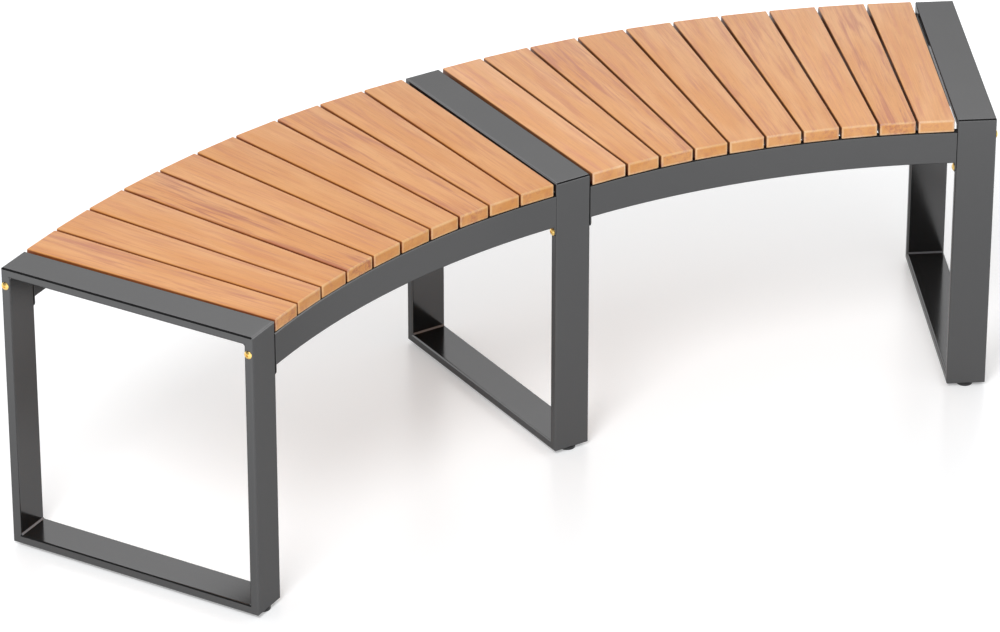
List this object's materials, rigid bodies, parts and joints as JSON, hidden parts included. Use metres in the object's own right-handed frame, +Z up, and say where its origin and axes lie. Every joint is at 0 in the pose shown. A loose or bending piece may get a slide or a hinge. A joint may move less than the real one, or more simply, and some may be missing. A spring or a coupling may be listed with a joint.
{
  "type": "curved patio bench",
  "caption": "Curved garden bench: a fan of tapered wooden slats on bent steel rails, carried by flat ring frames of steel tube on levelling feet.",
  "frame": {"origin": "on the ground, under the middle of the bench's bounding box", "axes": "+X along the bench, towards the right-hand end; +Y from the hollow side of the curve to its outer side; +Z up"},
  "size_m": [1.685, 0.5963, 0.457],
  "materials": {
    "grey_paint": "semi-gloss dark grey powder coat",
    "wood": "light oiled hardwood",
    "yellow_zinc": "yellow zinc plating",
    "plain_zinc": "bright zinc plating",
    "black_pad": "black nylon"
  },
  "bodies": {
    "bench": {"leg_left_front": "grey_paint", "leg_left_back": "grey_paint", "leg_middle_front": "grey_paint", "leg_middle_back": "grey_paint", "leg_right_front": "grey_paint", "leg_right_back": "grey_paint", "frame_top_left": "grey_paint", "frame_top_middle": "grey_paint", "frame_top_right": "grey_paint", "frame_bottom_left": "grey_paint", "frame_bottom_middle": "grey_paint", "frame_bottom_right": "grey_paint", "rail_left_inner": "grey_paint", "rail_left_outer": "grey_paint", "rail_right_inner": "grey_paint", "rail_right_outer": "grey_paint", "rail_end_plates": "grey_paint", "slat_left_1": "wood", "slat_left_2": "wood", "slat_left_3": "wood", "slat_left_4": "wood", "slat_left_5": "wood", "slat_left_6": "wood", "slat_left_7": "wood", "slat_left_8": "wood", "slat_left_9": "wood", "slat_left_10": "wood", "slat_right_1": "wood", "slat_right_2": "wood", "slat_right_3": "wood", "slat_right_4": "wood", "slat_right_5": "wood", "slat_right_6": "wood", "slat_right_7": "wood", "slat_right_8": "wood", "slat_right_9": "wood", "slat_right_10": "wood", "long_bolts": "yellow_zinc", "short_bolts": "yellow_zinc", "leg_nuts": "plain_zinc", "rail_nuts": "plain_zinc", "foot_nuts": "plain_zinc", "slat_screws": "plain_zinc"},
    "foot_left_front": {"foot_pad_left_front": "black_pad", "foot_stud_left_front": "plain_zinc"},
    "foot_left_back": {"foot_pad_left_back": "black_pad", "foot_stud_left_back": "plain_zinc"},
    "foot_middle_front": {"foot_pad_middle_front": "black_pad", "foot_stud_middle_front": "plain_zinc"},
    "foot_middle_back": {"foot_pad_middle_back": "black_pad", "foot_stud_middle_back": "plain_zinc"},
    "foot_right_front": {"foot_pad_right_front": "black_pad", "foot_stud_right_front": "plain_zinc"},
    "foot_right_back": {"foot_pad_right_back": "black_pad", "foot_stud_right_back": "plain_zinc"}
  },
  "joints": [
    {"name": "foot_left_front_screw", "type": "slide", "parent": "bench", "child": "foot_left_front", "axis": [0, 0, -1], "range_m": [0, 0.005]},
    {"name": "foot_left_back_screw", "type": "slide", "parent": "bench", "child": "foot_left_back", "axis": [0, 0, -1], "range_m": [0, 0.005]},
    {"name": "foot_middle_front_screw", "type": "slide", "parent": "bench", "child": "foot_middle_front", "axis": [0, 0, -1], "range_m": [0, 0.005]},
    {"name": "foot_middle_back_screw", "type": "slide", "parent": "bench", "child": "foot_middle_back", "axis": [0, 0, -1], "range_m": [0, 0.005]},
    {"name": "foot_right_front_screw", "type": "slide", "parent": "bench", "child": "foot_right_front", "axis": [0, 0, -1], "range_m": [0, 0.005]},
    {"name": "foot_right_back_screw", "type": "slide", "parent": "bench", "child": "foot_right_back", "axis": [0, 0, -1], "range_m": [0, 0.005]}
  ]
}
